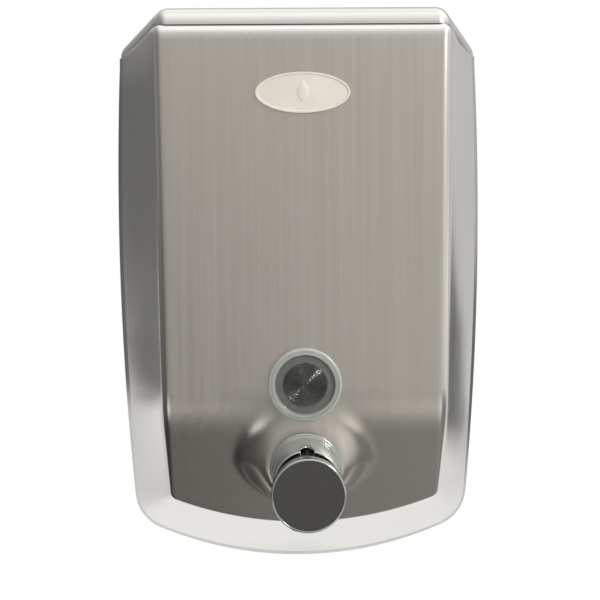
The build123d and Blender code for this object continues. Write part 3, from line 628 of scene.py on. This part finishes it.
share = add(tree, "Math", {0: distance.outputs["Value"]}, operation="MULTIPLY", in_1=1 / (10 * MM))
# painted highlight: less transmission by radius lets the white body show as bright rings
painted_rim_light = add(tree, "ValToRGB", {"Fac": share.outputs[0]}, [
    (place_r, (clear, clear, clear, 1.0)) for place_r, clear in (
        (0.62, 0.98), (0.66, 0.80), (0.84, 0.84), (0.88, 0.50), (0.97, 0.62), (1.0, 0.35))])
face = add(tree, "BsdfPrincipled", {"Roughness": rough.outputs[0], "Normal": bump.outputs[0],
                                    "Transmission Weight": painted_rim_light.outputs[0]},
           in_Base_Color=linear("#d0d4ce"), in_IOR=1.49)
add(tree, "OutputMaterial", {"Surface": face.outputs[0]})
glass = to_scene(bm, "window_glass", [acrylic])
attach(glass, "tank")
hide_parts("sight_glass")


# ----------------------------------------------- bracket, hinge, lock and pump
# The plain working pieces keep the shapes they were turned, cut or moulded in; each gets
# the finish of its stock: mill sheet, drawn bar, spring wire, rubber or moulded plastic.
def metal(name, colour, smooth_to, rough_to, stretch, size, depth):
    """Bare or plated metal with a drawn or rolled grain of one size in mm."""
    made, tree = new_finish(name)
    place = add(tree, "TexCoord")
    grid = add(tree, "Mapping", {"Vector": place.outputs["Object"]},
               in_Scale=tuple(k / (size * MM) for k in stretch))
    grain = add(tree, "TexNoise", {"Vector": grid.outputs[0]}, in_Scale=1.0, in_Detail=3.0)
    wear = add(tree, "TexNoise", {"Vector": place.outputs["Object"]}, in_Scale=1 / (11.11 * MM),
               in_Detail=4.0)
    both = add(tree, "Mix", {2: grain.outputs[0], 3: wear.outputs[0]}, in_0=0.45)
    shade = linear(colour)
    tone = add(tree, "ValToRGB", {"Fac": both.outputs[0]},
               [(0.32, tuple(c * 0.9 for c in shade[:3]) + (1.0,)), (0.68, shade)])
    rough = add(tree, "MapRange", {"Value": both.outputs[0]}, in_1=0.35, in_2=0.65, in_3=smooth_to,
                in_4=rough_to)
    bump = add(tree, "Bump", {"Height": grain.outputs[0]}, in_Strength=0.12, in_Distance=depth * MM)
    face = add(tree, "BsdfPrincipled", {"Base Color": tone.outputs[0], "Roughness": rough.outputs[0],
                                        "Normal": bump.outputs[0]}, in_Metallic=1.0)
    add(tree, "OutputMaterial", {"Surface": face.outputs[0]})
    return made


def moulding(name, dark, light, shine, size, depth, ior, through=0.0):
    """Moulded plastic or rubber with a fine spark-eroded skin of one size in mm."""
    made, tree = new_finish(name)
    place = add(tree, "TexCoord")
    spark = add(tree, "TexNoise", {"Vector": place.outputs["Object"]}, in_Scale=1 / (size * MM),
                in_Detail=3.0)
    cloud = add(tree, "TexNoise", {"Vector": place.outputs["Object"]}, in_Scale=1 / (9.091 * MM),
                in_Detail=3.0)
    tone = add(tree, "ValToRGB", {"Fac": cloud.outputs[0]}, [(0.32, linear(dark)), (0.68, linear(light))])
    rough = add(tree, "MapRange", {"Value": spark.outputs[0]}, in_1=0.3, in_2=0.7,
                in_3=shine - 0.05, in_4=shine + 0.07)
    bump = add(tree, "Bump", {"Height": spark.outputs[0]}, in_Strength=0.2, in_Distance=depth * MM)
    face = add(tree, "BsdfPrincipled", {"Base Color": tone.outputs[0], "Roughness": rough.outputs[0],
                                        "Normal": bump.outputs[0]}, in_IOR=ior,
               in_Subsurface_Weight=through, in_Subsurface_Radius=(2 * MM, 2 * MM, 2 * MM))
    add(tree, "OutputMaterial", {"Surface": face.outputs[0]})
    return made


# What each gives the eye: a grain along the roll or the draw, dull on sheet and brighter on
# bar and balls; rubber is matt black, acetal a slick black, polypropylene a cloudy white.
mill = metal("mill_finish_stainless", "#bdbab5", 0.30, 0.42, (1, 1, 0.03), 0.4, 0.05)
hinge_strip = metal("rolled_stainless_strip", "#c4c1bc", 0.24, 0.36, (0.03, 1, 1), 0.3, 0.04)
plated = metal("bright_plated_zinc", "#d3d6d9", 0.08, 0.18, (1, 1, 1), 0.6, 0.02)
bar = metal("drawn_stainless_bar", "#c9c7c3", 0.16, 0.26, (1, 0.03, 1), 0.3, 0.03)
wire = metal("spring_wire", "#aeaca8", 0.25, 0.38, (1, 1, 1), 0.2, 0.03)
ball = metal("polished_ball_steel", "#d2d2d1", 0.05, 0.12, (1, 1, 1), 0.5, 0.01)
rubber = moulding("black_nitrile_rubber", "#1d1d1c", "#272725", 0.62, 0.25, 0.03, 1.52)
acetal = moulding("black_acetal", "#1a1a1a", "#232322", 0.40, 0.20, 0.02, 1.48)
poly = moulding("natural_polypropylene", "#e0ded6", "#e9e7e0", 0.42, 0.25, 0.02, 1.49, 0.15)
for nodes, finish in (
        (("back_plate", "wall_bracket", "hanger_rail"), mill),
        (("body_hinge_leaf", "lid_hinge_leaf", "hinge_pin", "lock_nut", "lock_cam", "cam_screw"),
         hinge_strip),
        (("lock_housing", "lock_plug"), plated),
        (("plunger",), bar),
        (("outlet_ball", "inlet_ball"), ball),
        (("sight_gasket", "pump_inner_gasket", "pump_outer_gasket", "piston_seal", "rod_seal",
          "spout_tip"), rubber),
        (("sight_nut", "pump_lock_nut", "front_bush"), acetal),
        (("pump_barrel", "inlet_elbow", "inlet_seat", "intake_tube", "intake_strainer", "piston"),
         poly)):
    for node in nodes:
        for slot in bpy.data.objects[node].material_slots:
            slot.material = finish

# ------------------------------------------------------------------ springs
# Coiled spring wire: the long one returns the button, the small one shuts the outlet ball.
for node, rider, joint, travel, held in (("return_spring", "tank", "button_push", 8.0, "back"),
                                         ("outlet_spring", "button", "outlet_lift", 1.0, "front")):
    bm = bmesh.new()
    bm.from_mesh(bpy.data.objects[node].data)
    bmesh.ops.remove_doubles(bm, verts=bm.verts, dist=1e-6)
    coil = to_scene(bm, node + "_coil", [wire])
    low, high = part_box(node)
    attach(coil, rider)
    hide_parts(node)
    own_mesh(coil)

# ------------------------------------------------------- camera, light, floor
# A lens about 43 cm away, a little above the middle and looking 4 degrees down, in a pale
# studio. The polished bands show its grey sides; one softbox stands at the upper right.
yaw, pitch, roll = math.radians(1.01), math.radians(4.21), math.radians(-0.46)
ahead = Vector((math.sin(yaw) * math.cos(pitch), math.cos(yaw) * math.cos(pitch), -math.sin(pitch)))
level = Vector((math.cos(yaw), -math.sin(yaw), 0))
upward = level.cross(ahead)
right = math.cos(roll) * level + math.sin(roll) * upward
up = -math.sin(roll) * level + math.cos(roll) * upward
stand = Vector((-7.4, -431.5, 122.3 + foot)) * MM
lens = bpy.data.cameras.new("camera")
lens.sensor_width, lens.lens = 36.0, 74.2
camera = bpy.data.objects.new("camera", lens)
bpy.context.scene.collection.objects.link(camera)
camera.matrix_world = Matrix(((right.x, up.x, -ahead.x, stand.x), (right.y, up.y, -ahead.y, stand.y),
                              (right.z, up.z, -ahead.z, stand.z), (0, 0, 0, 1)))
bpy.context.scene.camera = camera
bpy.context.scene.view_settings.view_transform = "Standard"

room = bpy.data.worlds.new("studio")
bpy.context.scene.world = room
room.use_nodes = True
sky = room.node_tree
sky.nodes.clear()


def grey(v):
    """Warm grey of the studio at a brightness."""
    return (v, v * 0.985, v * 0.955, 1.0)


way = add(sky, "TexCoord")
axes = add(sky, "SeparateXYZ", {0: way.outputs["Generated"]})
across, depth, rise = axes.outputs["X"], axes.outputs["Y"], axes.outputs["Z"]
strip_edge = add(sky, "MapRange", {"Value": rise}, in_1=-0.10, in_2=0.06, in_3=0.36, in_4=0.24)
in_strip = add(sky, "Math", {0: strip_edge.outputs[0], 1: across}, operation="SUBTRACT")
soft = {}                                     # soft borders in the room
for name, along, low, high, start, end in (
        ("below", rise, 0.03, -0.08, 0.0, 1.0), ("left_to_right", across, -0.10, 0.08, 0.66, 1.50),
        ("right", across, 0.35, 0.6, 0.0, 1.0), ("right_low", rise, -0.12, -0.35, 0.0, 1.0),
        ("left", across, -0.12, -0.4, 0.0, 1.0), ("left_low", rise, -0.5, -0.7, 0.0, 1.0),
        ("lip_in", across, -0.40, -0.54, 0.0, 0.16), ("lip_out", across, -0.62, -0.56, 0.0, 1.0),
        ("outer", across, -0.50, -0.28, 0.70, 1.0), ("outer_low", rise, -0.13, -0.10, 0.0, 1.0),
        ("strip_top", rise, 0.05, 0.0, 0.0, 1.0), ("strip_foot", rise, -0.24, -0.18, 0.0, 1.0),
        ("strip_side", in_strip.outputs[0], -0.015, 0.015, 0.0, 1.0),
        ("halves", across, -0.12, 0.12, 0.0, 1.0), ("behind", depth, 0.35, 0.6, 0.0, 1.0)):
    soft[name] = add(sky, "MapRange", {"Value": along}, interpolation_type="SMOOTHSTEP",
                     in_1=low, in_2=high, in_3=start, in_4=end).outputs[0]
lip = add(sky, "Math", {0: soft["lip_in"], 1: soft["lip_out"]}, operation="MULTIPLY")
tilted = add(sky, "Math", {0: rise, 1: lip.outputs[0]}, operation="SUBTRACT")
level_at, tilted_at, across_at = (
    add(sky, "MapRange", {"Value": v}, in_1=-1.0, in_2=1.0, in_3=0.0, in_4=1.0).outputs[0]
    for v in (rise, tilted.outputs[0], across))

# the room ahead of the piece, by height and from side to side, with its dark lower corners
before = add(sky, "ValToRGB", {"Fac": level_at}, [((z + 1) / 2, grey(v)) for z, v in (
    (-1, .24), (-.97, .24), (-.87, .26), (-.6, .33), (-.4, .38), (-.2, .41), (-.1, .5), (0, .6), (.07, .6),
    (.24, .75), (.5, 1.0), (.8, 1.25), (.95, 1.35), (1, 1.15))])
flank = add(sky, "ValToRGB", {"Fac": across_at}, [((x + 1) / 2, (v, v, v, 1.0)) for x, v in (
    (-1, .22), (-.75, .18), (-.4, .4), (-.12, .5), (.3, .5), (.55, .58), (.8, .70), (1, .60))])
lean = add(sky, "Mix", {"Factor": soft["below"], 3: soft["left_to_right"]}, in_2=1.0)
scale = add(sky, "Math", {0: lean.outputs[0], 1: flank.outputs[0]}, operation="MULTIPLY")
scale = add(sky, "Math", {0: scale.outputs[0]}, operation="MULTIPLY", in_1=2.0)
lit = add(sky, "VectorMath", {0: before.outputs[0], "Scale": scale.outputs[0]}, operation="SCALE").outputs[0]
for side, low, dark in (("right", "right_low", 0.26), ("left", "left_low", 0.05)):
    corner = add(sky, "Math", {0: soft[side], 1: soft[low]}, operation="MULTIPLY")
    lit = add(sky, "Mix", {"Factor": corner.outputs[0], 6: lit}, data_type="RGBA", in_7=grey(dark)).outputs[2]
for aim, near, full, strength in (((-.40, -.76, -.51), .955, .995, 1.9), ((.40, -.73, -.55), .935, .99, .8)):
    toward = add(sky, "VectorMath", {0: way.outputs["Generated"]}, operation="DOT_PRODUCT", in_1=aim)
    spot = add(sky, "MapRange", {"Value": toward.outputs["Value"]}, interpolation_type="SMOOTHSTEP",
               in_1=near, in_2=full, in_3=0.0, in_4=strength)
    card = add(sky, "VectorMath", {"Scale": spot.outputs[0]}, operation="SCALE", in_0=grey(1.0)[:3])
    lit = add(sky, "VectorMath", {0: lit, 1: card.outputs[0]}, operation="ADD").outputs[0]
lit = add(sky, "VectorMath", {0: lit}, operation="MINIMUM", in_1=(1.4, 1.38, 1.34)).outputs[0]

# the room to both sides, which the flaring bands mirror: a dark strip on either hand
left_light, right_light = (
    add(sky, "ValToRGB", {"Fac": at}, [((z + 1) / 2, grey(v)) for z, v in heights]) for at, heights in (
        (tilted_at, ((-1, .3), (-.8, .6), (-.6, .95), (-.3, .85), (-.17, .78), (-.145, .19), (0, .15),
                     (.1, .15), (.2, .4), (.4, .75), (.63, .65), (1, 1.15))),
        (level_at, ((-1, .3), (-.8, .6), (-.6, .95), (-.3, .8), (-.1, .60), (0, .55), (.3, .55),
                    (.63, .58), (1, 1.15)))))
dim = add(sky, "Math", {0: soft["outer"], 1: soft["outer_low"]}, operation="MAXIMUM")
left_side = add(sky, "VectorMath", {0: left_light.outputs[0], "Scale": dim.outputs[0]}, operation="SCALE")
strip = add(sky, "Math", {0: soft["strip_top"], 1: soft["strip_foot"]}, operation="MULTIPLY")
strip = add(sky, "Math", {0: soft["strip_side"], 1: strip.outputs[0]}, operation="MULTIPLY")
right_side = add(sky, "Mix", {"Factor": strip.outputs[0], 6: right_light.outputs[0]}, data_type="RGBA",
                 in_7=grey(0.14))
sides = add(sky, "Mix", {"Factor": soft["halves"], 6: left_side.outputs[0], 7: right_side.outputs[2]},
            data_type="RGBA")
around = add(sky, "Mix", {"Factor": soft["behind"], 6: lit, 7: sides.outputs[2]}, data_type="RGBA")
seen = add(sky, "LightPath")
shown = add(sky, "Mix", {"Factor": seen.outputs["Is Camera Ray"], 6: around.outputs[2]}, data_type="RGBA",
            in_7=(1, 1, 1, 1))
glow = add(sky, "Background", {"Color": shown.outputs[2]}, in_Strength=1.0)
add(sky, "OutputWorld", {"Surface": glow.outputs[0]})

softbox = bpy.data.lights.new("softbox", "AREA")
softbox.shape, softbox.size, softbox.size_y = "RECTANGLE", 0.16, 0.10
softbox.energy = 0.9
lamp = bpy.data.objects.new("softbox", softbox)
bpy.context.scene.collection.objects.link(lamp)
lamp_at, lamp_to = Vector((0.34, -0.34, 0.22)), Vector((0.0, -0.08, -0.035))
lamp_turn = (lamp_to - lamp_at).to_track_quat("-Z", "Y").to_matrix().to_4x4()
lamp.matrix_world = Matrix.Translation(lamp_at) @ lamp_turn

floor_half, floor_z = 0.55, -0.45
bm = bmesh.new()
bmesh.ops.create_grid(bm, x_segments=1, y_segments=1, size=floor_half)
bmesh.ops.translate(bm, verts=bm.verts, vec=(0, 0, floor_z))
mesh = bpy.data.meshes.new("floor")
bm.to_mesh(mesh)
bm.free()
floor = bpy.data.objects.new("floor", mesh)
bpy.context.scene.collection.objects.link(floor)
pale, tree = new_finish("pale_floor")
face = add(tree, "BsdfPrincipled", in_Base_Color=linear("#f2f1ee"), in_Roughness=0.6)
add(tree, "OutputMaterial", {"Surface": face.outputs[0]})
mesh.materials.append(pale)
floor.visible_glossy = False
